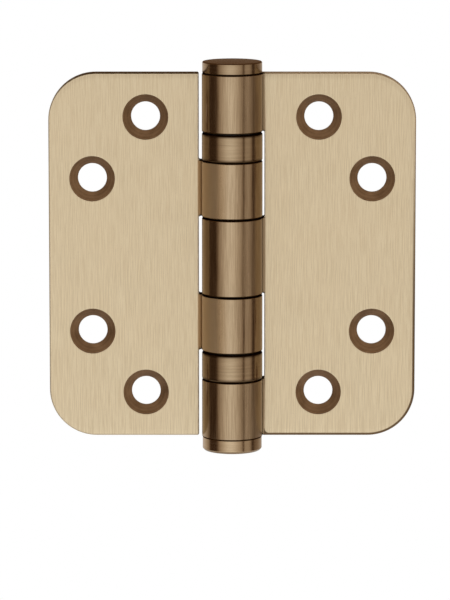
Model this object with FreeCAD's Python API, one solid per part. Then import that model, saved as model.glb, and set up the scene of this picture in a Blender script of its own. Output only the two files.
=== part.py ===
import FreeCAD, Part
import math
import os

from FreeCAD import Vector

# A ball bearing butt hinge, opened flat. Two square leaves with rounded outer corners are pressed
# from 3 mm sheet, their knuckles are rolled round a loose pin, and two ball races carry the door.
# The origin is on the pin's axis at mid-height, with +Z up along the pin, +X towards the frame leaf
# and the countersunk faces of both leaves looking towards -Y. Sizes are in millimetres.

# Leaves
hinge_height = 89.0
hinge_width = 89.0
leaf_thickness = 3.0
leaf_setback = 0.8
outer_corner_radius = 11.5
inner_corner_radius = 0.5
face_edge_chamfer = 0.25
frame_edge_gap = 0.46
door_edge_gap = 0.75
root_share = 0.6

# Barrel, from the middle knuckle outwards
barrel_radius = 7.35
middle_knuckle_height = 18.9
door_knuckle_height = 13.8
bearing_height = 7.05
knuckle_gap = 0.2
knuckle_chamfer = 0.3

# Roll and swage, seen along the pin
swage_start = 8.5
swage_bend_radius = 2.0
swage_back_radius = 5.0
seam_angle = 8.0
seam_gap = 0.2
roll_end_radius = 0.4

# Screw holes, as distances from the pin's axis and from mid-height
hole_places = ((21.0, 33.75), (33.95, 18.7))
screw_hole_diameter = 7.0
countersink_diameter = 11.05
countersink_angle = 82.0

# Pin and tip
pin_running_clearance = 0.08
pin_head_diameter = 14.5
pin_head_height = 2.87
pin_lead = 0.8
tip_diameter = 14.4
tip_height = 3.3
tip_chamfer = 0.5
tip_plug_length = 6.0
tip_plug_ease = 0.01

# Bearings
balls_per_bearing = 12
ball_diameter = 1.588
ball_facets = 8
ball_clearance = 0.04
case_wall = 0.7
case_to_knuckle_gap = 0.15
race_clearance = 0.05
race_bore_clearance = 0.15
bottom_race_height = 2.9
cage_thickness = 0.6
cage_rim = 0.28
cage_pocket = 1.8

# Levels and radii that follow
top_level = hinge_height / 2
middle_level = middle_knuckle_height / 2
door_level = middle_level + door_knuckle_height
frame_level = door_level + bearing_height
leaf_front = leaf_setback
leaf_back = leaf_setback + leaf_thickness
bore_radius = barrel_radius - leaf_thickness
pin_radius = bore_radius - pin_running_clearance
pin_axis = Vector(0, 0, 1)
centre = Vector(0, 0, 0)
into_leaf = Vector(0, 1, 0)

# The back of the swage is an arc that touches both the leaf's back and the barrel. The end of the
# roll is rounded by an arc that touches both the seam and the barrel.
fillet_angle = math.degrees(
    math.asin((leaf_back + swage_back_radius) / (barrel_radius + swage_back_radius))
)
roll_end_angle = seam_angle - math.degrees(
    math.asin(roll_end_radius / (barrel_radius - roll_end_radius))
)


def polar(radius, degrees):
    """A point of the section, from its distance to the axis and its angle from +X."""
    angle = math.radians(degrees)
    return Vector(radius * math.cos(angle), radius * math.sin(angle), 0)


def arc(middle, radius, start, end):
    """A circular edge of the section about middle, from start to end degrees."""
    halfway = (start + end) / 2
    points = [middle + polar(radius, degrees) for degrees in (start, halfway, end)]
    return Part.Arc(*points).toShape()


def turned(profile, degrees=360):
    """A solid turned about the pin's axis from (radius, level) corners."""
    corners = [Vector(radius, 0, level) for radius, level in profile]
    face = Part.Face(Part.makePolygon(corners + corners[:1]))
    return face.revolve(centre, pin_axis, degrees)


def ring(inner, outer, low, high):
    """A plain ring about the pin's axis."""
    return turned([(inner, low), (outer, low), (outer, high), (inner, high)])


def raised(shape, level):
    """The shape moved up to a level."""
    shape.translate(Vector(0, 0, level))
    return shape


def mirrored(shape):
    """The shape on the other side of the pin's axis."""
    return shape.mirror(centre, Vector(1, 0, 0))


# Rolled knuckle

def roll_section():
    """The strip of sheet seen along the pin: leaf, swage bend, and roll back to the seam."""
    joined_to_leaf = swage_start + swage_back_radius
    bend_centre = Vector(swage_start, leaf_front + swage_bend_radius, 0)
    fillet_centre = polar(barrel_radius + swage_back_radius, fillet_angle)

    # The seam is a slot with parallel sides along a radius: the roll's end on one side of it,
    # the swaged sheet on the other.
    along = polar(1, seam_angle)
    across = Vector(-along.y, along.x, 0)
    sheet_side = across * seam_gap
    bore_reach = math.sqrt(bore_radius ** 2 - seam_gap ** 2)
    bore_corner = along * bore_reach + sheet_side
    bore_corner_angle = math.degrees(math.atan2(bore_corner.y, bore_corner.x))

    # The bend meets the seam where its circle crosses the slot's sheet side.
    to_bend = bend_centre - sheet_side
    reach = to_bend.dot(along)
    offset = to_bend.dot(across)
    mouth = along * (reach - math.sqrt(swage_bend_radius ** 2 - offset ** 2)) + sheet_side
    mouth_angle = math.degrees(math.atan2(mouth.y - bend_centre.y, mouth.x - bend_centre.x)) % 360

    # The end of the roll is rounded into its outside.
    end_centre = polar(barrel_radius - roll_end_radius, roll_end_angle)
    roll_end = along * end_centre.dot(along)

    front = Vector(joined_to_leaf, leaf_front, 0)
    back = Vector(joined_to_leaf, leaf_back, 0)
    bend_start = Vector(swage_start, leaf_front, 0)
    edges = [
        Part.makeLine(front, bend_start),
        arc(bend_centre, swage_bend_radius, 270, mouth_angle),
        Part.makeLine(mouth, bore_corner),
        arc(centre, bore_radius, bore_corner_angle, 360 + seam_angle),
        Part.makeLine(polar(bore_radius, seam_angle), roll_end),
        arc(end_centre, roll_end_radius, seam_angle + 90, roll_end_angle),
        arc(centre, barrel_radius, 360 + roll_end_angle, fillet_angle),
        arc(fillet_centre, swage_back_radius, 180 + fillet_angle, 270),
        Part.makeLine(Vector(fillet_centre.x, leaf_back, 0), back),
        Part.makeLine(back, front),
    ]
    return Part.Face(Part.Wire(edges))


def knuckle(low, high):
    """One rolled knuckle of the frame leaf between two levels, its end edges chamfered."""
    roll = raised(roll_section().extrude(Vector(0, 0, high - low)), low)
    inside = barrel_radius - knuckle_chamfer
    outside = barrel_radius + knuckle_chamfer
    free_turn = 360 + roll_end_angle - fillet_angle
    for level, inwards in ((low, 1), (high, -1)):
        reach = 2 * knuckle_chamfer * inwards
        corner = turned([(inside, level), (outside, level), (outside, level + reach)], free_turn)
        corner.rotate(centre, pin_axis, fillet_angle)
        roll = roll.cut(corner)
    return roll


# Leaves

def plate(edge_gap):
    """The flat of a leaf right of the barrel, with its corners rounded and its front edge eased."""
    inner = barrel_radius + edge_gap
    outer = hinge_width / 2
    width = outer - inner
    flat = Part.makeBox(width, leaf_thickness, hinge_height, Vector(inner, leaf_front, -top_level))
    for place, radius in ((outer, outer_corner_radius), (inner, inner_corner_radius)):
        corners = [
            edge for edge in flat.Edges
            if abs(edge.CenterOfMass.x - place) < 1e-6
            and abs(abs(edge.CenterOfMass.z) - top_level) < 1e-6
        ]
        flat = flat.makeFillet(radius, corners)
    front_face = min(flat.Faces, key=lambda face: face.CenterOfMass.y)
    return flat.makeChamfer(face_edge_chamfer, front_face.Edges)


def countersunk_hole(x, z):
    """The space that one countersunk screw takes in a leaf."""
    depth = (countersink_diameter - screw_hole_diameter) / 2
    depth /= math.tan(math.radians(countersink_angle / 2))
    face = Vector(x, leaf_front, z)
    cone = Part.makeCone(countersink_diameter / 2, screw_hole_diameter / 2, depth, face, into_leaf)
    shank = Part.makeCylinder(screw_hole_diameter / 2, leaf_thickness, face, into_leaf)
    return cone.fuse(shank)


def root_web(inner, level, outwards, radius):
    """The rounded inside corner where a knuckle's end leaves the edge of the plate."""
    corner = Vector(inner, leaf_front, level)
    foot = corner - Vector(radius, 0, 0)
    head = corner + Vector(0, 0, radius * outwards)
    hollow = radius * (1 - math.sqrt(0.5))
    middle = corner + Vector(-hollow, 0, hollow * outwards)
    edges = [
        Part.makeLine(corner, foot),
        Part.Arc(foot, middle, head).toShape(),
        Part.makeLine(head, corner),
    ]
    return Part.Face(Part.Wire(edges)).extrude(into_leaf * leaf_thickness)


def leaf(knuckles, edge_gap):
    """A leaf with its knuckles, right of the barrel."""
    body = plate(edge_gap)
    inner = barrel_radius + edge_gap
    for low, high in knuckles:
        body = body.fuse(knuckle(low, high))
        for level, outwards in ((low, -1), (high, 1)):
            if abs(level) < top_level:
                body = body.fuse(root_web(inner, level, outwards, root_share * edge_gap))
    body = body.removeSplitter()
    for x, z in hole_places:
        for side in (-1, 1):
            body = body.cut(countersunk_hole(x, side * z))
    return body


frame_knuckles = (
    (frame_level, top_level),
    (-middle_level + knuckle_gap / 2, middle_level - knuckle_gap / 2),
    (-top_level, -frame_level),
)
door_knuckles = (
    (middle_level + knuckle_gap / 2, door_level),
    (-door_level, -middle_level - knuckle_gap / 2),
)
nodes = {
    "frame_leaf": leaf(frame_knuckles, frame_edge_gap),
    "door_leaf": mirrored(leaf(door_knuckles, door_edge_gap)),
}


# Pin and tip

def hinge_pin():
    """The loose pin, with its flat head on the top knuckle and a tapered lead at its foot."""
    foot = -top_level + tip_plug_length + tip_plug_ease
    head = pin_head_diameter / 2
    head_top = top_level + pin_head_height
    return turned([
        (0, foot),
        (pin_radius - pin_lead, foot),
        (pin_radius, foot + 2 * pin_lead),
        (pin_radius, top_level),
        (head, top_level),
        (head, head_top - knuckle_chamfer),
        (head - knuckle_chamfer, head_top),
        (0, head_top),
    ])


def bottom_tip():
    """The button pressed into the foot of the bottom knuckle."""
    button = tip_diameter / 2
    plug = bore_radius - tip_plug_ease
    lowest = -top_level - tip_height
    return turned([
        (0, lowest),
        (button - tip_chamfer, lowest),
        (button, lowest + tip_chamfer),
        (button, -top_level),
        (plug, -top_level),
        (plug, -top_level + tip_plug_length),
        (0, -top_level + tip_plug_length),
    ])


nodes["hinge_pin"] = hinge_pin()
nodes["bottom_tip"] = bottom_tip()


# Ball bearings

def ball(place):
    """A ball with flat facets that touch its true size, which keeps the faces inside the case few."""
    turn = 360 / ball_facets
    corner_reach = ball_diameter / 2 / math.cos(math.radians(turn / 2))
    rings = []
    for latitude in (-1.5 * turn, -0.5 * turn, 0.5 * turn, 1.5 * turn):
        side = polar(corner_reach, latitude)
        middle = place + Vector(0, 0, side.y)
        rings.append([middle + polar(side.x, turn * (step + 0.5)) for step in range(ball_facets)])
    outlines = [rings[0], rings[-1]]
    for below, above in zip(rings, rings[1:]):
        for step in range(ball_facets):
            outlines.append([below[step - 1], below[step], above[step], above[step - 1]])
    facets = [Part.Face(Part.makePolygon(corners + corners[:1])) for corners in outlines]
    return Part.Solid(Part.Shell(facets))


def bearing(name, level):
    """One thrust bearing: a case, two hardened races, a cage and its balls."""
    bore = pin_radius + race_bore_clearance
    case_bore = barrel_radius - case_wall
    race = case_bore - race_clearance
    pitch = (bore + race) / 2
    case_top = bearing_height - case_to_knuckle_gap
    ball_level = bottom_race_height + ball_clearance + ball_diameter / 2
    top_race_foot = ball_level + ball_diameter / 2 + ball_clearance
    case = turned([
        (case_bore, 0),
        (barrel_radius - knuckle_chamfer, 0),
        (barrel_radius, knuckle_chamfer),
        (barrel_radius, case_top - knuckle_chamfer),
        (barrel_radius - knuckle_chamfer, case_top),
        (case_bore, case_top),
    ])
    pieces = {
        "case": case,
        "bottom_race": ring(bore, race, 0, bottom_race_height),
        "top_race": ring(bore, race, top_race_foot, bearing_height),
    }

    # The cage is a comb: a rim beside the pin, with a pocket for each ball open to the outside.
    cage_foot = ball_level - cage_thickness / 2
    rim = bore + cage_rim
    cage = ring(bore, race - race_clearance, cage_foot, cage_foot + cage_thickness)
    for number in range(balls_per_bearing):
        turn = 360 * number / balls_per_bearing
        corner = Vector(rim, -cage_pocket / 2, cage_foot)
        pocket = Part.makeBox(barrel_radius - rim, cage_pocket, cage_thickness, corner)
        pocket.rotate(centre, pin_axis, turn)
        cage = cage.cut(pocket)
        place = polar(pitch, turn) + Vector(0, 0, ball_level)
        pieces[f"ball_{number + 1:02d}"] = ball(place)
    pieces["cage"] = cage
    for piece, shape in pieces.items():
        nodes[f"{name}_{piece}"] = raised(shape, level)


bearing("upper_bearing", door_level)
bearing("lower_bearing", -frame_level)


# One file for each piece
os.makedirs("parts", exist_ok=True)
for node, shape in nodes.items():
    if not shape.isValid() or len(shape.Solids) != 1:
        raise ValueError(f"{node} isn't one sound solid")
    shape.exportStep(f"parts/{node}.step")
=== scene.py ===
import math

import bpy
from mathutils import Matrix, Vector


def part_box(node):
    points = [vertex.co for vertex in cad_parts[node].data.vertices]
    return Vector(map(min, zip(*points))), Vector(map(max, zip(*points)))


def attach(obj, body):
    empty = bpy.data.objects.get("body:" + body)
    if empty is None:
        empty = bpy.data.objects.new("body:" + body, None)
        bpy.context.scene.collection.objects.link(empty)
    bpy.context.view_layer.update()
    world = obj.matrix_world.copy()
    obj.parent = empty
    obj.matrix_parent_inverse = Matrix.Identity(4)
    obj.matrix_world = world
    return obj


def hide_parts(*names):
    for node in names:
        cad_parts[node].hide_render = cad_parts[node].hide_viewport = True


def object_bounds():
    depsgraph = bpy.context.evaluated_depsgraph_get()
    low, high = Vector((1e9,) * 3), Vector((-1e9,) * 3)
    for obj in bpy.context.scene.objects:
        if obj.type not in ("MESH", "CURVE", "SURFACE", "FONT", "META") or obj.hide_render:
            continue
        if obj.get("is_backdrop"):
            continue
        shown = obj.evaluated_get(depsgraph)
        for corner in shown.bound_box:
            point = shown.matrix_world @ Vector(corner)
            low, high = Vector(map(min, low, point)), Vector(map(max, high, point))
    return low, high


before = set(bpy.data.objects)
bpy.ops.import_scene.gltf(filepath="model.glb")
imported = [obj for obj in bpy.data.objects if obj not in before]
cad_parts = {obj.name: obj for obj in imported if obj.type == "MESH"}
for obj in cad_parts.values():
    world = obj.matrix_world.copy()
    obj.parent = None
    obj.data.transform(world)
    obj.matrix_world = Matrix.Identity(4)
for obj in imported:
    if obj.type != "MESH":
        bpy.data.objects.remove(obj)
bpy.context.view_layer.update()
mm = 0.001


# Frame leaf
# The frame leaf is one piece of 3 mm steel sheet. Its edge is cut into three fingers that are swaged
# back and rolled round the pin, and its four screw holes are drilled and countersunk. It is plated
# antique bronze and brushed along the pin, which leaves the barrel and the edges darker. One side of
# each leaf's outline also carries painted shade.

leaf_low, leaf_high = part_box("frame_leaf")
half_width = leaf_high.x
half_height = leaf_high.z
barrel_radius = -leaf_low.y
sheet = 3.0 * mm
setback = 0.8 * mm
leaf_back = setback + sheet
bore_radius = barrel_radius - sheet
bend_start = 8.5 * mm
bend_radius = 2.0 * mm
frame_bend_start = 8.15 * mm
frame_bend_radius = 1.4 * mm
swage_radius = 5.0 * mm
seam_angle = math.radians(8)
seam_gap = 0.2 * mm
roll_end_radius = 0.4 * mm
corner_radius = 11.5 * mm
edge_round = 0.3 * mm
corner_round = 0.38 * mm
bore_edge_round = 0.09 * mm
hole_edge_round = 0.12 * mm
countersink_edge_round = 0.075 * mm
frame_bright_start = 7.8 * mm
frame_slot = 0.46 * mm
frame_root = 0.3 * mm
slot_edge_width = 0.45 * mm

bend_steps = 3
bore_steps = 72
seam_steps = 6
barrel_steps = 96
corner_steps = 24
root_steps = 4
hole_steps = 96
edge_steps = 3
sharp_edge = math.radians(32)
hair = 0.01 * mm
same_point = 0.001 * mm
same_corner = 0.06 * mm

door_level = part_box("upper_bearing_bottom_race")[0].z
frame_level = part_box("upper_bearing_top_race")[1].z
middle_level = 9.35 * mm
outside = 2 * mm

screw_places = [(21.0 * mm, 33.75 * mm), (33.95 * mm, 18.7 * mm)]
screw_radius = 3.5 * mm
countersink_radius = 5.525 * mm
countersink_slope = math.tan(math.radians(41))


def deselect_all():
    """Nothing selected, in object mode, so that the next operator acts on one piece alone."""
    if bpy.context.mode != "OBJECT":
        bpy.ops.object.mode_set(mode="OBJECT")
    bpy.ops.object.select_all(action="DESELECT")


def pick(piece, kind, chosen):
    """The piece open in edit mode with only the vertices, edges or faces that chosen accepts."""
    bpy.context.view_layer.objects.active = piece
    if bpy.context.mode != "EDIT_MESH":
        bpy.ops.object.mode_set(mode="EDIT")
    bpy.ops.mesh.select_mode(type=kind)
    bpy.ops.mesh.select_all(action="DESELECT")
    bpy.ops.object.mode_set(mode="OBJECT")
    mesh = piece.data
    elements = {"VERT": mesh.vertices, "EDGE": mesh.edges, "FACE": mesh.polygons}[kind]
    for element in elements:
        if kind == "EDGE":
            element.select = chosen(*[mesh.vertices[index].co for index in element.vertices])
        elif kind == "FACE":
            element.select = chosen(element.center, element.normal)
        else:
            element.select = chosen(element.co)
    bpy.ops.object.mode_set(mode="EDIT")


def start_outline(name, point):
    """A new piece that is one vertex, the start of an outline drawn with line_to and bend_round."""
    deselect_all()
    bpy.ops.mesh.primitive_plane_add(size=mm)
    piece = bpy.context.active_object
    piece.name = name
    piece.data.name = name
    bpy.ops.object.mode_set(mode="EDIT")
    bpy.ops.mesh.select_mode(type="VERT")
    bpy.ops.mesh.merge(type="CENTER")
    bpy.ops.transform.translate(value=point)
    return piece


def line_to(here, there):
    bpy.ops.mesh.extrude_region_move(TRANSFORM_OT_translate={"value": there - here})
    return there


def bend_round(here, centre, turn, steps):
    """The outline's end carried round a centre by turn radians, against the clock seen from above."""
    bpy.ops.mesh.spin(steps=steps, angle=-turn, center=centre, axis=(0, 0, 1))
    arm = here - centre
    cosine, sine = math.cos(turn), math.sin(turn)
    return centre + Vector((arm.x * cosine - arm.y * sine, arm.x * sine + arm.y * cosine, arm.z))


def polar(radius, angle, level=0):
    return Vector((radius * math.cos(angle), radius * math.sin(angle), level))


def heading(point, centre):
    return math.atan2(point.y - centre.y, point.x - centre.x)


def rolled_sheet(name, flat_start, mouth_radius, swage_steps):
    """The sheet right of the barrel at full height: leaf, swage and roll, with round outer corners."""
    floor = -half_height
    axis = Vector((0, 0, floor))
    bend_centre = Vector((flat_start, setback + mouth_radius, floor))
    touch_angle = math.asin((leaf_back + swage_radius) / (barrel_radius + swage_radius))
    swage_centre = polar(barrel_radius + swage_radius, touch_angle, floor)
    end_turn = math.asin(roll_end_radius / (barrel_radius - roll_end_radius))
    end_centre = polar(barrel_radius - roll_end_radius, seam_angle - end_turn, floor)

    # The seam's two sides run along a radius of the barrel.
    along = polar(1, seam_angle)
    across = Vector((-along.y, along.x, 0))
    sheet_side = axis + across * seam_gap
    bore_corner = sheet_side + along * math.sqrt(bore_radius ** 2 - seam_gap ** 2)
    to_bend = bend_centre - sheet_side
    reach = to_bend.dot(along) - math.sqrt(mouth_radius ** 2 - to_bend.dot(across) ** 2)
    mouth = sheet_side + along * reach

    here = Vector((half_width, setback, floor))
    piece = start_outline(name, here)
    here = line_to(here, Vector((flat_start, setback, floor)))
    bend_turn = -(math.pi / 2 - (heading(mouth, bend_centre) % (2 * math.pi) - math.pi))
    here = bend_round(here, bend_centre, bend_turn, bend_steps)
    here = line_to(here, bore_corner)
    bore_turn = 2 * math.pi + seam_angle - heading(bore_corner, axis)
    here = bend_round(here, axis, bore_turn, bore_steps)
    here = line_to(here, axis + along * (end_centre - axis).dot(along))
    here = bend_round(here, end_centre, -(math.pi / 2 + end_turn), seam_steps)
    barrel_turn = -(2 * math.pi + seam_angle - end_turn - touch_angle)
    here = bend_round(here, axis, barrel_turn, barrel_steps)
    here = bend_round(here, swage_centre, math.pi / 2 - touch_angle, swage_steps)
    line_to(here, Vector((half_width, leaf_back, floor)))
    bpy.ops.mesh.select_all(action="SELECT")
    bpy.ops.mesh.remove_doubles(threshold=same_point)
    bpy.ops.mesh.edge_face_add()
    bpy.ops.mesh.extrude_region_move(TRANSFORM_OT_translate={"value": (0, 0, 2 * half_height)})
    bpy.ops.mesh.select_all(action="SELECT")
    bpy.ops.mesh.normals_make_consistent(inside=False)

    def outer_corner(start, end):
        at_edge = min(start.x, end.x) > half_width - hair
        return at_edge and abs(start.z - end.z) < hair

    pick(piece, "EDGE", outer_corner)
    bpy.ops.mesh.bevel(
        offset=corner_radius, segments=corner_steps, affect="EDGES", clamp_overlap=False
    )
    bpy.ops.object.mode_set(mode="OBJECT")
    return piece


def cut_away(piece, tool):
    """The tool's shape cut out of the piece, and the tool put away."""
    deselect_all()
    bpy.context.view_layer.objects.active = piece
    cut = piece.modifiers.new("cut", "BOOLEAN")
    cut.operation = "DIFFERENCE"
    cut.solver = "EXACT"
    cut.object = tool
    bpy.ops.object.modifier_apply(modifier=cut.name)
    bpy.data.objects.remove(tool)


def cut_slot(piece, reach, low, high, root):
    """The sheet cut back to reach between two levels, with round corners where a knuckle leaves."""
    deselect_all()
    left = -barrel_radius - outside
    bpy.ops.mesh.primitive_cube_add(
        size=1,
        location=((left + reach) / 2, 0, (low + high) / 2),
        scale=(reach - left, 4 * barrel_radius, high - low),
    )
    tool = bpy.context.active_object
    bpy.ops.object.transform_apply(location=True, scale=True)

    def beside_knuckle(start, end):
        at_root = min(start.x, end.x) > reach - hair and abs(start.z - end.z) < hair
        return at_root and abs(start.z) < half_height

    pick(tool, "EDGE", beside_knuckle)
    bpy.ops.mesh.bevel(offset=root, segments=root_steps, affect="EDGES", clamp_overlap=False)
    bpy.ops.object.mode_set(mode="OBJECT")
    cut_away(piece, tool)


def cut_screw_holes(piece):
    """The four holes, each cut by a drill that widens into a countersink at the leaf's front."""
    drill_length = sheet + 2 * outside
    shoulder = setback + (countersink_radius - screw_radius) / countersink_slope
    for across, up in screw_places:
        for level in (up, -up):
            deselect_all()
            bpy.ops.mesh.primitive_cylinder_add(
                vertices=hole_steps,
                radius=screw_radius,
                depth=drill_length,
                location=(across, shoulder + drill_length / 2, level),
                rotation=(math.pi / 2, 0, 0),
            )
            tool = bpy.context.active_object
            bpy.ops.object.transform_apply(location=True, rotation=True)
            pick(tool, "FACE", lambda centre, normal: normal.y < -0.9)
            bpy.ops.mesh.extrude_region_move(
                TRANSFORM_OT_translate={"value": (0, setback - outside - shoulder, 0)}
            )
            mouth_radius = countersink_radius + outside * countersink_slope
            bpy.ops.transform.resize(
                value=(mouth_radius / screw_radius,) * 3,
                center_override=(across, setback - outside, level),
            )
            bpy.ops.object.mode_set(mode="OBJECT")
            cut_away(piece, tool)


def beside_a_hole(point, radius):
    """Whether a point lies on a circle of that radius round one of the screw holes."""
    for across, up in screw_places:
        distance = math.hypot(abs(point.x) - across, abs(point.z) - up)
        if abs(distance - radius) < 2 * hair:
            return True
    return False


def free_corner(start, end):
    """Whether an edge runs through the sheet at the corner that a slot leaves at its end."""
    through = abs(start.x - end.x) < hair and abs(start.z - end.z) < hair
    at_end = abs(start.z) > half_height - hair
    return through and at_end and barrel_radius < start.x < bend_start


def ease_edges(piece):
    """Every sharp edge rounded: the sheet's corners most, the edges of the holes and bore least."""
    pick(piece, "VERT", lambda point: True)
    bpy.ops.mesh.remove_doubles(threshold=same_corner)
    pick(piece, "EDGE", lambda start, end: False)
    bpy.ops.mesh.edges_select_sharp(sharpness=sharp_edge)
    bpy.ops.object.mode_set(mode="OBJECT")
    mesh = piece.data
    share = mesh.attributes.new("bevel_weight_edge", "FLOAT", "EDGE")
    for edge in mesh.edges:
        if not edge.select:
            continue
        ends = [mesh.vertices[index].co for index in edge.vertices]
        radius = edge_round
        if all(point.xy.length < bore_radius + 2 * edge_round for point in ends):
            radius = bore_edge_round
        if all(beside_a_hole(point, countersink_radius) for point in ends):
            radius = countersink_edge_round
        if all(beside_a_hole(point, screw_radius) for point in ends):
            radius = hole_edge_round
        if free_corner(*ends):
            radius = corner_round
        share.data[edge.index].value = radius / corner_round
    deselect_all()
    bpy.context.view_layer.objects.active = piece
    ease = piece.modifiers.new("ease", "BEVEL")
    ease.limit_method = "WEIGHT"
    ease.width = corner_round
    ease.segments = edge_steps
    ease.use_clamp_overlap = False
    ease.loop_slide = False
    bpy.ops.object.modifier_apply(modifier=ease.name)


def smooth(piece):
    """Even shading over rounded edges, with the flat faces left flat."""
    deselect_all()
    piece.select_set(True)
    bpy.context.view_layer.objects.active = piece
    bpy.ops.object.shade_smooth_by_angle(angle=sharp_edge)
    even = piece.modifiers.new("even", "WEIGHTED_NORMAL")
    even.keep_sharp = True
    even.weight = 90
    bpy.ops.object.modifier_apply(modifier=even.name)


def node(tree, kind, inputs=None, **settings):
    """A shader node with its settings, and its inputs given as values or as other nodes' outputs."""
    made = tree.nodes.new(kind)
    for name, value in settings.items():
        setattr(made, name, value)
    for name, value in (inputs or {}).items():
        if isinstance(value, bpy.types.NodeSocket):
            tree.links.new(value, made.inputs[name])
        else:
            made.inputs[name].default_value = value
    return made


def math_node(tree, operation, *values):
    return node(tree, "ShaderNodeMath", dict(enumerate(values)), operation=operation).outputs[0]


def mixed(tree, share, first, second):
    """A colour between two colours."""
    inputs = {0: share, 6: first, 7: second}
    return node(tree, "ShaderNodeMix", inputs, data_type="RGBA").outputs[2]


def blend(tree, share, first, second):
    """A value between two values."""
    return node(tree, "ShaderNodeMix", {0: share, 2: first, 3: second}).outputs[0]


def toned(colour, *shares):
    """A colour with each of its channels taken down to a share."""
    return [channel * share for channel, share in zip(colour, shares)] + [1]


def diagonal(tree, sideways, upwards):
    """The distance that two distances at right angles make together."""
    return math_node(tree, "SQRT", math_node(
        tree, "ADD", math_node(tree, "POWER", sideways, 2.0), math_node(tree, "POWER", upwards, 2.0)
    ))


def stretched_noise(tree, place, scales, detail):
    """Noise that is drawn out differently along X, Y and Z."""
    spread = node(tree, "ShaderNodeCombineXYZ", dict(zip("XYZ", scales)))
    stretched = node(tree, "ShaderNodeVectorMath", {
        0: place, 1: spread.outputs[0],
    }, operation="MULTIPLY")
    return node(tree, "ShaderNodeTexNoise", {
        "Vector": stretched.outputs[0], "Scale": 1.0, "Detail": detail, "Roughness": 0.6,
    }).outputs["Fac"]


def new_group(name, inputs, outputs):
    """A shader node group with its named sockets, and the nodes that hold them."""
    group = bpy.data.node_groups.new(name, "ShaderNodeTree")
    for socket_name, default in inputs.items():
        kind = "NodeSocketVector" if default is None else "NodeSocketFloat"
        socket = group.interface.new_socket(name=socket_name, in_out="INPUT", socket_type=kind)
        if default is not None:
            socket.default_value = default
    for socket_name in outputs:
        group.interface.new_socket(
            name=socket_name, in_out="OUTPUT", socket_type="NodeSocketFloat"
        )
    start = group.nodes.new("NodeGroupInput")
    end = group.nodes.new("NodeGroupOutput")
    return group, start, end


def use(tree, group, inputs):
    return node(tree, "ShaderNodeGroup", inputs, node_tree=group).outputs


# Strokes of an abrasive belt that ran along the pin: fine and long ones over broad, faint ones.
brushing, start, end = new_group(
    "brushing", {"Place": None, "Across": 5000.0, "Along": 200.0}, ["Stroke", "Streak"]
)
for socket_name, coarser, detail in (("Stroke", 1.0, 3.0), ("Streak", 0.3, 2.0)):
    across = math_node(brushing, "MULTIPLY", start.outputs["Across"], coarser)
    along = math_node(brushing, "MULTIPLY", start.outputs["Along"], coarser)
    noise = stretched_noise(brushing, start.outputs["Place"], (across, across, along), detail)
    brushing.links.new(noise, end.inputs[socket_name])

# Uneven plating and handling: soft clouds, and small darker specks.
patina, start, end = new_group("patina", {"Place": None, "Size": 0.012}, ["Cloud", "Speck"])
fine = math_node(patina, "DIVIDE", 1.0, start.outputs["Size"])
cloud = node(patina, "ShaderNodeTexNoise", {
    "Vector": start.outputs["Place"], "Scale": fine, "Detail": 3.0, "Roughness": 0.5,
})
speck = node(patina, "ShaderNodeTexNoise", {
    "Vector": start.outputs["Place"], "Scale": math_node(patina, "MULTIPLY", fine, 25.0),
    "Detail": 2.0, "Roughness": 0.6,
})
speck_only = node(patina, "ShaderNodeMapRange", {
    "Value": speck.outputs["Fac"], "From Min": 0.62, "From Max": 0.74,
}, interpolation_type="SMOOTHSTEP")
patina.links.new(cloud.outputs["Fac"], end.inputs["Cloud"])
patina.links.new(speck_only.outputs[0], end.inputs["Speck"])


# How near a place is to the leaf's outline, with its corner beside the barrel, and how much painted
# shade the outline gets on that side.
outline, start, end = new_group(
    "outline",
    {"Place": None, "Width": 0.0, "Root": 0.0, "Across": 1.0, "Up": 0.0, "Lit": 0.0, "Dark": 1.0},
    ["Fall", "Line", "Shade"],
)
spot = node(outline, "ShaderNodeSeparateXYZ", {0: start.outputs["Place"]}).outputs
from_pin = math_node(outline, "ABSOLUTE", spot["X"])
from_middle = math_node(outline, "ABSOLUTE", spot["Z"])


def past_corner(tree, sideways, upwards):
    """How far a place lies past a corner's centre, given its distances in the two directions."""
    past_side = math_node(tree, "MAXIMUM", sideways, 0.0)
    past_end = math_node(tree, "MAXIMUM", upwards, 0.0)
    return diagonal(tree, past_side, past_end)


sideways = math_node(outline, "SUBTRACT", from_pin, half_width - corner_radius)
upwards = math_node(outline, "SUBTRACT", from_middle, half_height - corner_radius)
straight = math_node(outline, "MINIMUM", math_node(outline, "MAXIMUM", sideways, upwards), 0.0)
inward = math_node(outline, "SUBTRACT", corner_radius, math_node(
    outline, "ADD", past_corner(outline, sideways, upwards), straight
))
root_round = 1.7 * mm
fall_width = 1.6 * mm
line_softness = 0.2 * mm
to_pin = math_node(
    outline, "SUBTRACT", math_node(outline, "ADD", start.outputs["Root"], root_round), from_pin
)
to_end = math_node(outline, "SUBTRACT", from_middle, half_height - root_round)
from_root = math_node(outline, "SUBTRACT", root_round, past_corner(outline, to_pin, to_end))
past_line = math_node(
    outline, "SUBTRACT", math_node(outline, "MINIMUM", inward, from_root), start.outputs["Width"]
)
# Fall says how near the outline is, for the relief of its rounded edge. Line says where a dark line of
# painted shade runs along it.
for socket_name, distance, reach in (
    ("Fall", inward, fall_width), ("Line", past_line, line_softness)
):
    close = node(outline, "ShaderNodeMapRange", {
        "Value": distance, "From Min": reach, "From Max": 0.0,
    }, interpolation_type="SMOOTHSTEP")
    outline.links.new(close.outputs[0], end.inputs[socket_name])
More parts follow.
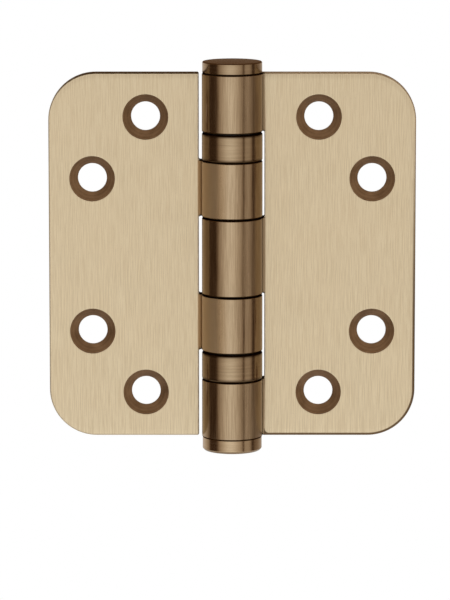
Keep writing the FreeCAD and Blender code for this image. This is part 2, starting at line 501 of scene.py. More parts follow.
# Shade is painted shade: the outline is painted darker towards one side of the leaf, and only past the
# slot or near the ends.
toward = math_node(
    outline, "ADD",
    math_node(outline, "MULTIPLY", spot["X"], start.outputs["Across"]),
    math_node(outline, "MULTIPLY", spot["Z"], start.outputs["Up"]),
)
shade = node(outline, "ShaderNodeMapRange", {
    "Value": toward, "From Min": start.outputs["Lit"], "From Max": start.outputs["Dark"],
}, interpolation_type="SMOOTHSTEP").outputs[0]
past_slot = math_node(
    outline, "MAXIMUM",
    math_node(outline, "GREATER_THAN", from_pin, bend_start + line_softness),
    math_node(outline, "GREATER_THAN", from_middle, half_height - root_round),
)
outline.links.new(math_node(outline, "MULTIPLY", shade, past_slot), end.inputs["Shade"])


def new_finish(name, metallic=1.0):
    """A material with one Principled shader, and the place on the piece that its patterns follow."""
    finish = bpy.data.materials.new(name)
    finish.use_nodes = True
    tree = finish.node_tree
    shader = tree.nodes["Principled BSDF"]
    shader.inputs["Metallic"].default_value = metallic
    place = node(tree, "ShaderNodeTexCoord").outputs["Object"]
    return finish, tree, shader, place


def bump(tree, shader, height, strength, depth=0.02 * mm):
    """Relief on the surface, laid over any relief that the shader has already."""
    relief = node(tree, "ShaderNodeBump", {
        "Height": height, "Strength": strength, "Distance": depth,
    })
    for link in shader.inputs["Normal"].links:
        tree.links.new(link.from_socket, relief.inputs["Normal"])
    tree.links.new(relief.outputs["Normal"], shader.inputs["Normal"])


def spread_out(tree, value, low, high, to_low=0.0, to_high=1.0):
    """A pattern's narrow range of values stretched to the range that is wanted."""
    return node(tree, "ShaderNodeMapRange", {
        "Value": value, "From Min": low, "From Max": high, "To Min": to_low, "To Max": to_high,
    }).outputs[0]


def gloss_from(tree, pattern, smoothest, roughest):
    """A roughness that follows a pattern between two values."""
    return spread_out(tree, pattern, 0.3, 0.7, smoothest, roughest)


def bronze(
    name, light, dark, smoothest, roughest, across, along, relief, scuff_and_highlight=None, shaded_side=None, wave=0
):
    """Antique bronze plate brushed along the pin. Each stroke shifts its colour and its gloss."""
    finish, tree, shader, place = new_finish(name)
    strokes = use(tree, brushing, {"Place": place, "Across": across, "Along": along})
    wear = use(tree, patina, {"Place": place})
    both = blend(tree, 0.08, strokes["Stroke"], strokes["Streak"])
    colour = mixed(tree, spread_out(tree, both, 0.42, 0.58), dark, light)
    cloud_share = math_node(tree, "MULTIPLY", wear["Cloud"], 0.35)
    colour = mixed(tree, cloud_share, colour, toned(light, 1.0, 0.94, 0.89))
    speck_share = math_node(tree, "MULTIPLY", wear["Speck"], 0.1)
    colour = mixed(tree, speck_share, colour, toned(dark, 0.55, 0.55, 0.55))
    gloss = gloss_from(tree, strokes["Stroke"], smoothest, roughest)
    # Knuckles on one side of the pin are scuffed matt and painted lighter there, a painted highlight.
    if scuff_and_highlight:
        across_pin = node(tree, "ShaderNodeSeparateXYZ", {0: place}).outputs["X"]
        scuffed_and_lit = node(tree, "ShaderNodeMapRange", {
            "Value": math_node(tree, "MULTIPLY", across_pin, scuff_and_highlight["side"]),
            "From Min": scuff_and_highlight_start, "From Max": scuff_and_highlight_full,
        }, interpolation_type="SMOOTHSTEP").outputs[0]
        gloss = blend(tree, scuffed_and_lit, gloss, scuff_and_highlight["gloss"])
        lit_tone_share = math_node(tree, "MULTIPLY", scuffed_and_lit, scuff_and_highlight["lit_tone_share"])
        colour = mixed(tree, lit_tone_share, colour, scuff_and_highlight["tone"])
        metallic = math_node(tree, "MULTIPLY_ADD", scuffed_and_lit, -scuff_and_highlight["matt_share"], 1.0)
        tree.links.new(metallic, shader.inputs["Metallic"])
    # On the leaves a dark line of painted shade runs along the outline on its shaded side.
    if shaded_side:
        shader.inputs["Anisotropic"].default_value = 0.45
        sideways = node(tree, "ShaderNodeTangent", direction_type="RADIAL", axis="Z")
        tree.links.new(sideways.outputs[0], shader.inputs["Tangent"])
        edge = use(tree, outline, {"Place": place, **shaded_side})
        shade_line = math_node(tree, "MULTIPLY", edge["Line"], edge["Shade"])
        shade_line_share = math_node(tree, "MULTIPLY", shade_line, 0.92)
        colour = mixed(tree, shade_line_share, colour, outline_shade_tone)
        bump(tree, shader, edge["Fall"], 1.0, -0.05 * mm)
    if wave:
        bump(tree, shader, wear["Cloud"], 1.0, wave)
    tree.links.new(colour, shader.inputs["Base Color"])
    tree.links.new(gloss, shader.inputs["Roughness"])
    bump(tree, shader, both, relief)
    return finish


def finish_faces(piece, finish, chosen=None):
    """The finish laid on the faces that chosen accepts, or on all of them."""
    if finish.name not in piece.data.materials:
        piece.data.materials.append(finish)
    index = piece.data.materials.find(finish.name)
    for face in piece.data.polygons:
        if chosen is None or chosen(face.center, face.normal):
            face.material_index = index


# Each leaf's outline gets painted shade on one side and is painted lighter on the other.
door_shaded_side = {
    "Width": 0.1 * mm, "Across": 1.0, "Up": 0.5, "Lit": -28 * mm, "Dark": -12 * mm,
}
frame_shaded_side = {
    "Width": 0.5 * mm, "Root": frame_bright_start - 0.5 * mm,
    "Across": -0.5, "Up": -1.0, "Lit": -60 * mm, "Dark": 0.0,
}
# The colour of the line of painted shade along the outline.
outline_shade_tone = (0.1, 0.055, 0.025, 1)
leaf_tones = ((0.79, 0.68, 0.475, 1), (0.605, 0.497, 0.332, 1))
leaf_strokes = {
    "smoothest": 0.36, "roughest": 0.48, "across": 5000.0, "along": 130.0, "relief": 0.12,
}
frame_leaf_bronze = bronze(
    "frame_leaf_bronze", *leaf_tones, **leaf_strokes, shaded_side=frame_shaded_side
)
door_leaf_bronze = bronze("door_leaf_bronze", *leaf_tones, **leaf_strokes, shaded_side=door_shaded_side)
edge_strokes = {"across": 2600.0, "along": 900.0, "relief": 0.08}
edge_gloss = (0.34, 0.5)
dark_bronze = bronze(
    "dark_bronze", (0.055, 0.03, 0.013, 1), (0.028, 0.015, 0.006, 1), *edge_gloss, **edge_strokes
)
dark_shader = dark_bronze.node_tree.nodes["Principled BSDF"]
dark_shader.inputs["Specular Tint"].default_value = (0.3, 0.18, 0.1, 1)


def outline_bronze(name, worn_and_lit, shaded_side):
    """The leaf's rounded outline, with painted shade: lighter and more matt on one side, dark
    opposite.
    """
    finish, tree, shader, place = new_finish(name)
    strokes = use(tree, brushing, {
        "Place": place, "Across": edge_strokes["across"], "Along": edge_strokes["along"],
    })
    wear = use(tree, patina, {"Place": place, "Size": 0.004})
    edge = use(tree, outline, {"Place": place, **shaded_side})
    tone = spread_out(tree, strokes["Stroke"], 0.35, 0.65)
    rubbed_and_lit = mixed(tree, tone, toned(worn_and_lit, 0.85, 0.85, 0.85), worn_and_lit)
    plated_and_shaded = mixed(tree, tone, (0.09, 0.048, 0.019, 1), (0.14, 0.077, 0.031, 1))
    shade = blend(tree, 0.2, edge["Shade"], wear["Cloud"])
    tree.links.new(mixed(tree, shade, rubbed_and_lit, plated_and_shaded), shader.inputs["Base Color"])
    tree.links.new(spread_out(tree, shade, 0.0, 1.0, 0.55, 0.9), shader.inputs["Metallic"])
    gloss = gloss_from(tree, strokes["Stroke"], *edge_gloss)
    tree.links.new(gloss, shader.inputs["Roughness"])
    bump(tree, shader, strokes["Stroke"], edge_strokes["relief"])
    return finish


# The lighter tones are for the lit side of each leaf's outline; the dark side is painted shade.
frame_outline_bronze = outline_bronze("frame_outline_bronze", (0.45, 0.32, 0.19, 1), frame_shaded_side)
door_outline_bronze = outline_bronze("door_outline_bronze", (0.52, 0.42, 0.28, 1), door_shaded_side)

# The edges of the slots beside the barrel are rubbed and painted bright, partly as a painted
# highlight.
slot_rub_and_highlight_bronze = bronze(
    "slot_rub_and_highlight_bronze", (0.78, 0.67, 0.48, 1), (0.64, 0.53, 0.36, 1), 0.4, 0.55, **edge_strokes
)
slot_rub_and_highlight_bronze.node_tree.nodes["Principled BSDF"].inputs["Metallic"].default_value = 0.25

# The belt that brushed each leaf also scuffed its knuckles matt on that leaf's side of the pin. Their
# lighter tone there is a painted highlight.
barrel_tones = ((0.42, 0.315, 0.2, 1), (0.335, 0.245, 0.15, 1))
scuff_and_highlight_start = 0.5 * mm
scuff_and_highlight_full = 5.5 * mm
frame_scuff_and_highlight = {
    "side": 1, "gloss": 0.3, "matt_share": 0.02, "tone": (0.5, 0.36, 0.21, 1), "lit_tone_share": 0.02,
}
frame_band_scuff_and_highlight = {**frame_scuff_and_highlight, "gloss": 0.42, "matt_share": 0.5, "lit_tone_share": 0.5}
door_scuff_and_highlight = {
    "side": -1, "gloss": 0.38, "matt_share": 0.2, "tone": (0.54, 0.37, 0.195, 1), "lit_tone_share": 0.8,
}
barrel_strokes = {
    "smoothest": 0.13, "roughest": 0.22, "across": 3000.0, "along": 120.0, "relief": 0.3,
    "wave": 0.12 * mm,
}
frame_barrel_bronze = bronze(
    "frame_barrel_bronze", *barrel_tones, **barrel_strokes, scuff_and_highlight=frame_scuff_and_highlight
)
frame_band_bronze = bronze(
    "frame_band_bronze", *barrel_tones, **barrel_strokes, scuff_and_highlight=frame_band_scuff_and_highlight
)
door_barrel_bronze = bronze("door_barrel_bronze", *barrel_tones, **barrel_strokes, scuff_and_highlight=door_scuff_and_highlight)

# The countersinks keep the plater's dark tone. The cutter left fine rings round each hole.
countersink_bronze, tree, shader, place = new_finish("countersink_bronze", metallic=0.25)
shader.inputs["Specular IOR Level"].default_value = 0.2
shader.inputs["Specular Tint"].default_value = (0.8, 0.5, 0.3, 1)
spot = node(tree, "ShaderNodeSeparateXYZ", {0: place})
across_leaf = math_node(tree, "ABSOLUTE", spot.outputs["X"])
up_leaf = math_node(tree, "ABSOLUTE", spot.outputs["Z"])
distances = []
for across, up in screw_places:
    sideways = math_node(tree, "SUBTRACT", across_leaf, across)
    upwards = math_node(tree, "SUBTRACT", up_leaf, up)
    distances.append(diagonal(tree, sideways, upwards))
from_hole = math_node(tree, "MINIMUM", *distances)
rings = node(tree, "ShaderNodeTexNoise", {
    "W": math_node(tree, "MULTIPLY", from_hole, 5200.0), "Scale": 1.0, "Detail": 2.0,
}, noise_dimensions="1D").outputs["Fac"]
wear = use(tree, patina, {"Place": place, "Size": 0.003})
tone = spread_out(tree, blend(tree, 0.45, rings, wear["Cloud"]), 0.36, 0.64)
colour = mixed(tree, tone, (0.1, 0.052, 0.023, 1), (0.195, 0.11, 0.054, 1))
tree.links.new(colour, shader.inputs["Base Color"])
tree.links.new(gloss_from(tree, rings, *edge_gloss), shader.inputs["Roughness"])
bump(tree, shader, rings, 0.25)


def knuckle_end(centre, normal):
    """The rounded ends of the barrel's pieces, which keep the plater's dark tone."""
    return normal.z > 0.4 or normal.z < -0.2


def dress_leaf(piece, finishes, bright_start):
    """The leaf's face and back brushed, its barrel as rolled, its edges with painted shade on one
    side, its holes dark.
    """
    face_bronze, edge_bronze, band_bronze, barrel_bronze = finishes

    def nearest_hole(centre):
        return min(
            math.hypot(abs(centre.x) - across, abs(centre.z) - up) for across, up in screw_places
        )

    def rolled(centre, normal):
        in_bore = centre.xy.length < barrel_radius and centre.xy.dot(normal.xy) < 0
        in_seam = abs(centre.x) > barrel_radius and abs(normal.x) > 0.45
        in_seam = in_seam and centre.y < leaf_back / 2
        end = abs(normal.z) > 0.8 if abs(centre.z) > half_height else knuckle_end(centre, normal)
        return abs(centre.x) < bend_start + swage_radius and not (in_bore or in_seam or end)

    def in_band(centre, normal):
        beside_barrel = barrel_radius < abs(centre.x) < bright_start and abs(normal.z) < 0.2
        return beside_barrel and centre.y < setback + edge_round and normal.y < -0.85

    def on_outline(centre, normal):
        sideways = max(abs(centre.x) - half_width + corner_radius, 0)
        upwards = max(abs(centre.z) - half_height + corner_radius, 0)
        at_rim = math.hypot(sideways, upwards) > corner_radius - edge_round - 0.05 * mm
        at_end = abs(centre.z) > half_height - hair
        return at_end or (abs(centre.x) > bright_start and at_rim)

    def beside_slot(centre, normal):
        in_strip = 0 < abs(centre.x) - bright_start < slot_edge_width
        return in_strip and centre.y < setback + edge_round and abs(normal.z) < 0.9

    def brushed(centre, normal):
        flattest = 0.9 if nearest_hole(centre) < countersink_radius + edge_round else 0.98
        return abs(centre.x) > bright_start and abs(normal.y) > flattest

    def in_countersink(centre, normal):
        smallest, largest = screw_radius - 0.2 * mm, countersink_radius - 2 * hair
        in_hole = smallest < nearest_hole(centre) < largest
        return in_hole and abs(normal.y) < 0.97

    finish_faces(piece, dark_bronze)
    finish_faces(piece, barrel_bronze, rolled)
    finish_faces(piece, band_bronze, in_band)
    finish_faces(piece, slot_rub_and_highlight_bronze, beside_slot)
    finish_faces(piece, edge_bronze, on_outline)
    finish_faces(piece, face_bronze, brushed)
    finish_faces(piece, countersink_bronze, in_countersink)


frame_leaf = rolled_sheet("frame_leaf_sheet", frame_bend_start, frame_bend_radius, swage_steps=8)
frame_reach = barrel_radius + frame_slot
cut_slot(frame_leaf, frame_reach, middle_level, frame_level, frame_root)
cut_slot(frame_leaf, frame_reach, -frame_level, -middle_level, frame_root)
cut_screw_holes(frame_leaf)
ease_edges(frame_leaf)
smooth(frame_leaf)
frame_finishes = (frame_leaf_bronze, frame_outline_bronze, frame_band_bronze, frame_barrel_bronze)
dress_leaf(frame_leaf, frame_finishes, frame_bright_start)
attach(frame_leaf, "frame_side")
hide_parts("frame_leaf")


# Door leaf
# The door leaf is made of the same sheet, with the two fingers that fit between the other leaf's
# three. It is rolled the other way round, and a wider slot keeps its edge clear of the barrel.

door_slot = 0.75 * mm
door_root = 0.42 * mm
door_bright_start = 8.05 * mm
inner_level = 9.55 * mm

door_leaf = rolled_sheet("door_leaf_sheet", bend_start, bend_radius, swage_steps=6)
door_reach = barrel_radius + door_slot
cut_slot(door_leaf, door_reach, -inner_level, inner_level, door_root)
cut_slot(door_leaf, door_reach, door_level, half_height + outside, door_root)
cut_slot(door_leaf, door_reach, -half_height - outside, -door_level, door_root)
cut_screw_holes(door_leaf)
ease_edges(door_leaf)
pick(door_leaf, "VERT", lambda point: True)
bpy.ops.transform.resize(value=(-1, 1, 1), center_override=(0, 0, 0))
bpy.ops.mesh.normals_make_consistent(inside=False)
smooth(door_leaf)
door_finishes = (door_leaf_bronze, door_outline_bronze, door_barrel_bronze, door_barrel_bronze)
dress_leaf(door_leaf, door_finishes, door_bright_start)
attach(door_leaf, "door_side")
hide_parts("door_leaf")


# Pin and its head
# The pin is one piece turned from steel bar, with a flat round head that rests on the top knuckle
# and a taper at its foot to find the bores. It is loose, and lifts out to take the door off.

pin_low, pin_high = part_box("hinge_pin")
head_radius = pin_high.x
pin_radius = 4.27 * mm
pin_lead = 0.8 * mm
turned_steps = 128


def turned(name, profile, closed=False):
    """A piece turned on a lathe from its profile, a list of (radius, level) corners."""
    corners = [Vector((radius, 0, level)) for radius, level in profile]
    piece = start_outline(name, corners[0])
    here = corners[0]
    for corner in corners[1:] + (corners[:1] if closed else []):
        here = line_to(here, corner)
    bpy.ops.mesh.select_all(action="SELECT")
    bpy.ops.mesh.remove_doubles(threshold=same_point)
    bpy.ops.mesh.select_all(action="SELECT")
    bpy.ops.mesh.spin(steps=turned_steps, angle=2 * math.pi, center=(0, 0, 0), axis=(0, 0, 1))
    bpy.ops.mesh.select_all(action="SELECT")
    bpy.ops.mesh.remove_doubles(threshold=same_point)
    bpy.ops.mesh.normals_make_consistent(inside=False)
    bpy.ops.object.mode_set(mode="OBJECT")
    return piece


def ease_turned(piece, width):
    """The turned piece's corners rounded all the way round."""
    deselect_all()
    bpy.context.view_layer.objects.active = piece
    ease = piece.modifiers.new("ease", "BEVEL")
    ease.limit_method = "ANGLE"
    ease.angle_limit = math.radians(40)
    ease.width = width
    ease.segments = edge_steps
    ease.use_clamp_overlap = False
    bpy.ops.object.modifier_apply(modifier=ease.name)


# Fine lines left by the lathe run round the piece, over the same streaks and clouds as the leaves.
lathe_lines, start, end = new_group("lathe_lines", {"Place": None, "Fine": 9000.0}, ["Line", "Band"])
for socket_name, coarser in (("Line", 1.0), ("Band", 0.22)):
    along = math_node(lathe_lines, "MULTIPLY", start.outputs["Fine"], coarser)
    noise = stretched_noise(lathe_lines, start.outputs["Place"], (90.0, 90.0, along), detail=2.0)
    lathe_lines.links.new(noise, end.inputs[socket_name])

# Painted shade near a sleeve's two ends, where it meets the knuckles.
end_shade_tone = (0.06, 0.034, 0.016, 1)
end_shade_width = 1.1 * mm
end_shade_full = 0.2 * mm


def turned_metal(name, light, dark, smoothest, roughest, relief=0.1, ends=None):
    """Metal with the lathe's lines in its colour, gloss and relief, and painted shade near its two
    ends.
    """
    finish, tree, shader, place = new_finish(name)
    lines = use(tree, lathe_lines, {"Place": place})
    wear = use(tree, patina, {"Place": place, "Size": 0.006})
    both = blend(tree, 0.5, lines["Line"], lines["Band"])
    colour = mixed(tree, spread_out(tree, both, 0.36, 0.64), dark, light)
    cloud_share = math_node(tree, "MULTIPLY", wear["Cloud"], 0.4)
    colour = mixed(tree, cloud_share, colour, toned(dark, 1.0, 0.95, 0.9))
    speck_share = math_node(tree, "MULTIPLY", wear["Speck"], 0.2)
    colour = mixed(tree, speck_share, colour, toned(dark, 0.5, 0.5, 0.5))
    if ends:
        low, high = ends
        level = node(tree, "ShaderNodeSeparateXYZ", {0: place}).outputs["Z"]
        from_middle = math_node(tree, "SUBTRACT", level, (low + high) / 2)
        end_shaded = node(tree, "ShaderNodeMapRange", {
            "Value": math_node(tree, "ABSOLUTE", from_middle),
            "From Min": (high - low) / 2 - end_shade_width, "From Max": (high - low) / 2 - end_shade_full,
        }, interpolation_type="SMOOTHSTEP").outputs[0]
        colour = mixed(tree, end_shaded, colour, end_shade_tone)
    tree.links.new(colour, shader.inputs["Base Color"])
    gloss = gloss_from(tree, lines["Line"], smoothest, roughest)
    tree.links.new(gloss, shader.inputs["Roughness"])
    bump(tree, shader, both, relief, 0.01 * mm)
    return finish


turned_tones = ((0.42, 0.315, 0.2, 1), (0.32, 0.235, 0.143, 1))
turned_gloss = (0.12, 0.2)
turned_relief = 0.3
turned_bronze = turned_metal("turned_bronze", *turned_tones, *turned_gloss, turned_relief)

pin = turned("pin_with_head", [
    (0, pin_low.z),
    (pin_radius - pin_lead, pin_low.z),
    (pin_radius, pin_low.z + 2 * pin_lead),
    (pin_radius, half_height),
    (head_radius, half_height),
    (head_radius, pin_high.z),
    (0, pin_high.z),
])
ease_turned(pin, edge_round)
smooth(pin)
finish_faces(pin, turned_bronze)
finish_faces(pin, dark_bronze, lambda centre, normal: normal.z < -0.2)
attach(pin, "pin")
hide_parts("hinge_pin")


# Bottom tip
# The tip is a small turned button that matches the pin's head. Its plug is pressed into the foot of
# the bottom knuckle and closes it, and its lower edge is broken.

tip_low, tip_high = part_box("bottom_tip")
tip_radius = tip_high.x
tip_chamfer = 0.5 * mm
tip_edge_round = 0.12 * mm
plug_radius = bore_radius - hair
tip_bronze = turned_metal(
    "tip_bronze", (0.52, 0.4, 0.26, 1), (0.41, 0.305, 0.19, 1), *turned_gloss, turned_relief
)
# The tip's downward faces are painted darker, as painted shade.
tip_shade_bronze = turned_metal(
    "tip_shade_bronze", (0.24, 0.165, 0.095, 1), (0.18, 0.12, 0.066, 1), 0.3, 0.45, turned_relief
)

tip = turned("bottom_tip_button", [
    (0, tip_low.z),
    (tip_radius - tip_chamfer, tip_low.z),
    (tip_radius, tip_low.z + tip_chamfer),
    (tip_radius, -half_height),
    (plug_radius, -half_height),
    (plug_radius, tip_high.z),
    (0, tip_high.z),
])
ease_turned(tip, tip_edge_round)
smooth(tip)
finish_faces(tip, tip_bronze)
finish_faces(tip, tip_shade_bronze, lambda centre, normal: normal.z < -0.2)
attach(tip, "frame_side")
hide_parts("bottom_tip")


# Bearing cases
# Each bearing sits in a short sleeve drawn from thin steel tube and faced on the lathe. The sleeve
# shows as the ring between two knuckles, and keeps the grease and the balls in.

case_wall = 0.7 * mm
case_round = 0.55 * mm
rim = [case_round * (1 - math.cos(math.radians(angle))) for angle in range(0, 91, 18)]
for bearing, body in (("upper_bearing", "door_side"), ("lower_bearing", "frame_side")):
    case_low, case_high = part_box(f"{bearing}_case")
    case = turned(f"{bearing}_sleeve", [
        (barrel_radius - case_wall, case_low.z),
        *[(barrel_radius - far, case_low.z + near) for far, near in zip(reversed(rim), rim)],
        *[(barrel_radius - far, case_high.z - near) for far, near in zip(rim, reversed(rim))],
        (barrel_radius - case_wall, case_high.z),
    ], closed=True)
    smooth(case)
    case_ends = (case_low.z, case_high.z)
    case_bronze = turned_metal(
        f"{bearing}_bronze", *turned_tones, *turned_gloss, turned_relief, case_ends
    )
    finish_faces(case, case_bronze)
    finish_faces(case, dark_bronze, knuckle_end)
    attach(case, body)
    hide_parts(f"{bearing}_case")


# Races
# The races are hardened steel washers, ground flat where the balls run on them. One is pressed into
# the foot of each case, and the other turns with the knuckle above it. Their rims are painted dark,
# as painted shade where they show in the seams.

race_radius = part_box("upper_bearing_top_race")[1].x
# Painted shade on the race rims, which show in the seams between the knuckles.
rim_shade_start = race_radius - 0.5 * mm
rim_shade_full = race_radius - 0.1 * mm
rim_shade_tone = (0.03, 0.016, 0.008, 1)
ground_steel = turned_metal(
    "ground_steel", (0.62, 0.61, 0.59, 1), (0.5, 0.49, 0.48, 1), 0.16, 0.28, relief=0.06
)
tree = ground_steel.node_tree
shader = tree.nodes["Principled BSDF"]
spot = node(tree, "ShaderNodeSeparateXYZ", {0: tree.nodes["Texture Coordinate"].outputs["Object"]})
from_axis = diagonal(tree, spot.outputs["X"], spot.outputs["Y"])
rim_shaded = spread_out(tree, from_axis, rim_shade_start, rim_shade_full)
bare = shader.inputs["Base Color"].links[0].from_socket
tree.links.new(mixed(tree, rim_shaded, bare, rim_shade_tone), shader.inputs["Base Color"])
tree.links.new(math_node(tree, "SUBTRACT", 1.0, rim_shaded), shader.inputs["Metallic"])


def refinish(cad_piece, finish):
    """A piece of the frame kept as it is, with its finish in every material slot."""
    if not cad_piece.data.materials:
        cad_piece.data.materials.append(finish)
    for material_slot in cad_piece.material_slots:
        material_slot.material = finish


for name, cad_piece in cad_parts.items():
    if name.endswith("_race"):
        refinish(cad_piece, ground_steel)


# Cages and balls
# Each cage is a comb moulded in nylon that keeps twelve steel balls apart. It carries them round at
# half the door's speed.

nylon, tree, shader, place = new_finish("moulded_nylon", metallic=0.0)
wear = use(tree, patina, {"Place": place, "Size": 0.004})
colour = mixed(tree, wear["Cloud"], (0.8, 0.77, 0.68, 1), (0.66, 0.6, 0.47, 1))
colour = mixed(tree, wear["Speck"], colour, (0.5, 0.44, 0.33, 1))
tree.links.new(colour, shader.inputs["Base Color"])
tree.links.new(gloss_from(tree, wear["Cloud"], 0.35, 0.55), shader.inputs["Roughness"])
bump(tree, shader, wear["Cloud"], 0.1)

ball_steel, tree, shader, place = new_finish("polished_ball_steel")
wear = use(tree, patina, {"Place": place, "Size": 0.001})
colour = mixed(tree, wear["Cloud"], (0.78, 0.78, 0.79, 1), (0.66, 0.65, 0.64, 1))
tree.links.new(colour, shader.inputs["Base Color"])
tree.links.new(gloss_from(tree, wear["Cloud"], 0.05, 0.14), shader.inputs["Roughness"])
bump(tree, shader, wear["Speck"], 0.03, 0.005 * mm)

ball_radius = 0.794 * mm
ball_cuts = 7
deselect_all()
bpy.ops.mesh.primitive_cube_add(size=2 * ball_radius)
first_ball = bpy.context.active_object
bpy.ops.object.mode_set(mode="EDIT")
bpy.ops.mesh.subdivide(number_cuts=ball_cuts)
bpy.ops.transform.tosphere(value=1)
bpy.ops.object.mode_set(mode="OBJECT")
reach = max(vertex.co.length for vertex in first_ball.data.vertices)
pick(first_ball, "VERT", lambda point: True)
bpy.ops.transform.resize(value=(ball_radius / reach,) * 3, center_override=(0, 0, 0))
bpy.ops.object.mode_set(mode="OBJECT")
first_ball.select_set(True)
bpy.ops.object.shade_smooth()
first_ball.data.materials.append(ball_steel)

for name, cad_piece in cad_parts.items():
    if name.endswith("_cage"):
        refinish(cad_piece, nylon)
    if "_ball_" not in name:
        continue
    low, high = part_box(name)
    ball = bpy.data.objects.new(name.replace("_ball_", "_steel_ball_"), first_ball.data.copy())
    bpy.context.scene.collection.objects.link(ball)
    pick(ball, "VERT", lambda point: True)
    bpy.ops.transform.translate(value=(low + high) / 2)
    bpy.ops.object.mode_set(mode="OBJECT")
    ball.select_set(False)
    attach(ball, "upper_cage" if name.startswith("upper") else "lower_cage")
    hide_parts(name)
bpy.data.objects.remove(first_ball)


# Studio
# The hinge hangs over a round white floor. Pale cards stand in front of it and brown ones at its
# sides, which draws the long dark bands down the barrel.

floor_level = -0.13
floor_radius = 0.24
shadow_radius = 0.17

deselect_all()
bpy.ops.mesh.primitive_circle_add(
    vertices=96, radius=floor_radius, fill_type="NGON", location=(0, 0, floor_level)
)
floor = bpy.context.active_object
floor.name = "floor"
paper = bpy.data.materials.new("white_paper")
paper.use_nodes = True
tree = paper.node_tree
tree.nodes.clear()
place = node(tree, "ShaderNodeTexCoord").outputs["Object"]
from_middle = node(tree, "ShaderNodeVectorMath", {0: place}, operation="LENGTH").outputs["Value"]
fade = node(tree, "ShaderNodeMapRange", {
    "Value": from_middle, "From Min": shadow_radius * 0.7, "From Max": shadow_radius,
    "To Min": 0.55, "To Max": 1.0,
}, interpolation_type="SMOOTHSTEP").outputs[0]
path = node(tree, "ShaderNodeLightPath").outputs
seen = math_node(tree, "MAXIMUM", path["Is Camera Ray"], path["Is Glossy Ray"])
seen = math_node(tree, "MAXIMUM", seen, path["Is Transmission Ray"])
matt = node(tree, "ShaderNodeBsdfDiffuse", {"Color": (0.9, 0.9, 0.9, 1)})
bright = node(tree, "ShaderNodeEmission", {"Color": (1, 1, 1, 1), "Strength": 1.0})
both = node(tree, "ShaderNodeMixShader", {
    0: math_node(tree, "MULTIPLY", seen, fade), 1: matt.outputs[0], 2: bright.outputs[0],
})
tree.nodes.new("ShaderNodeOutputMaterial")
tree.links.new(both.outputs[0], tree.nodes["Material Output"].inputs["Surface"])
floor.data.materials.append(paper)
floor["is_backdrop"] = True

world = bpy.data.worlds.new("studio")
bpy.context.scene.world = world
world.use_nodes = True
tree = world.node_tree
tree.nodes.clear()
direction = node(tree, "ShaderNodeTexCoord").outputs["Generated"]
parts = node(tree, "ShaderNodeSeparateXYZ", {0: direction})
behind = math_node(tree, "MULTIPLY", parts.outputs["Y"], -1.0)
azimuth = math_node(tree, "ARCTAN2", parts.outputs["X"], behind)
share_round = node(tree, "ShaderNodeMapRange", {
    "Value": azimuth, "From Min": -math.pi, "From Max": math.pi,
}).outputs[0]

# How bright the cards stand round the hinge, by the azimuth in degrees from the front.
cards = [
    (-180, 0.5), (-140, 0.66), (-124, 0.6), (-108, 0.4), (-101, 0.3), (-96, 0.055), (-66, 0.055),
    (-62, 0.09), (-57, 0.2), (-50, 0.44), (-30, 0.76), (-20, 0.92), (-8, 1.0), (4, 0.95),
    (12, 0.84), (22, 0.68), (32, 0.55), (40, 0.4), (42, 0.12), (47, 0.12), (50, 0.5), (68, 0.5),
    (80, 0.3), (84, 0.06), (91, 0.08), (98, 0.2), (116, 0.28), (140, 0.44), (180, 0.5),
]
ramp = node(tree, "ShaderNodeValToRGB", {0: share_round})
stops = ramp.color_ramp.elements
while len(stops) > 1:
    stops.remove(stops[-1])
for number, (degrees, level) in enumerate(cards):
    position = (degrees + 180) / 360
    stop = stops[0] if number == 0 else stops.new(position)
    stop.position = position
    stop.color = (level, level, level, 1)

# Low down behind the cards is a pale table. Overhead it is dark brown, lower behind than in front.
table = node(tree, "ShaderNodeMapRange", {
    "Value": parts.outputs["Z"], "From Min": -0.2, "From Max": -0.4, "To Max": 0.4,
}, interpolation_type="SMOOTHSTEP").outputs[0]
level = math_node(tree, "MAXIMUM", ramp.outputs["Color"], table)
tinted = node(tree, "ShaderNodeCombineXYZ", {
    "X": level,
    "Y": math_node(tree, "POWER", level, 1.2),
    "Z": math_node(tree, "POWER", level, 1.4),
}).outputs[0]
ceiling_start = spread_out(tree, behind, -0.2, 0.6, 0.0, 0.1)
above = node(tree, "ShaderNodeMapRange", {
    "Value": math_node(tree, "SUBTRACT", parts.outputs["Z"], ceiling_start),
    "From Min": -0.02, "From Max": 0.08,
}, interpolation_type="SMOOTHSTEP").outputs[0]
tinted = mixed(tree, above, tinted, (0.105, 0.055, 0.025, 1))
path = node(tree, "ShaderNodeLightPath").outputs
studio = node(tree, "ShaderNodeBackground", {"Color": tinted, "Strength": 1.25})
plain = node(tree, "ShaderNodeBackground", {"Color": (1, 1, 1, 1), "Strength": 0.6})
white = node(tree, "ShaderNodeBackground", {"Color": (1, 1, 1, 1), "Strength": 1.0})
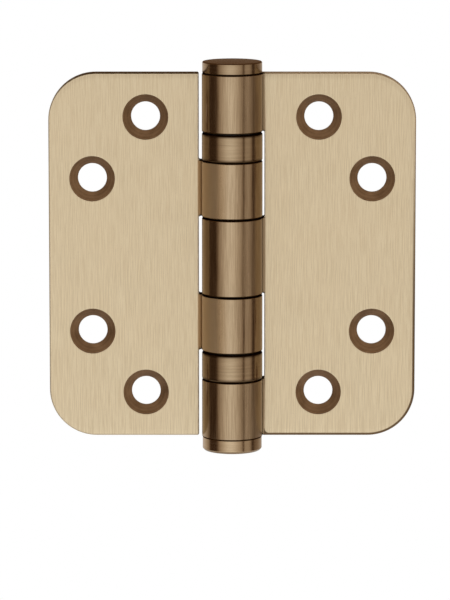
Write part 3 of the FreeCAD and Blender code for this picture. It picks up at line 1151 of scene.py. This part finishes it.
by_gloss = node(tree, "ShaderNodeMixShader", {
    0: path["Is Glossy Ray"], 1: plain.outputs[0], 2: studio.outputs[0],
})
shown = math_node(tree, "MAXIMUM", path["Is Camera Ray"], path["Is Transmission Ray"])
backdrop = node(tree, "ShaderNodeMixShader", {0: shown, 1: by_gloss.outputs[0], 2: white.outputs[0]})
tree.nodes.new("ShaderNodeOutputWorld")
tree.links.new(backdrop.outputs[0], tree.nodes["World Output"].inputs["Surface"])

# Three lamps face the hinge, and don't show in its gloss.
for name, place, width, power in (
    ("key", Vector((0.45, -0.75, 0.7)), 0.5, 9.0),
    ("fill", Vector((-0.7, -0.5, 0.35)), 0.4, 1.5),
    ("back", Vector((0.1, 0.8, 0.6)), 0.5, 5.0),
):
    lamp_data = bpy.data.lights.new(name, "AREA")
    lamp_data.energy = power
    lamp_data.size = width
    lamp = bpy.data.objects.new(name, lamp_data)
    bpy.context.scene.collection.objects.link(lamp)
    lamp.location = place
    lamp.visible_glossy = False
    lamp.rotation_euler = (-place).to_track_quat("-Z", "Y").to_euler()


# Camera
# The hinge is photographed face on, from a little above its middle.

view_distance = 1.0
view_elevation = math.radians(8.3)
pixels_per_mm = 4.119
frame_height_px = 600
frame_width_px = 450
pin_column_px = 232.2
middle_row_px = 255.5

camera_data = bpy.data.cameras.new("camera")
camera = bpy.data.objects.new("camera", camera_data)
bpy.context.scene.collection.objects.link(camera)
camera.location = Vector(
    (0, -view_distance * math.cos(view_elevation), view_distance * math.sin(view_elevation))
)
camera.rotation_euler = (math.pi / 2 - view_elevation, 0, 0)
camera_data.sensor_width = 36
camera_data.lens = pixels_per_mm * (view_distance / mm) * camera_data.sensor_width / frame_height_px
camera_data.shift_x = (frame_width_px / 2 - pin_column_px) / frame_height_px
camera_data.shift_y = (middle_row_px - frame_height_px / 2) / frame_height_px
camera_data.clip_start = 0.1
camera_data.clip_end = 20
bpy.context.scene.camera = camera
bpy.context.scene.view_settings.view_transform = "Standard"


low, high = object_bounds()
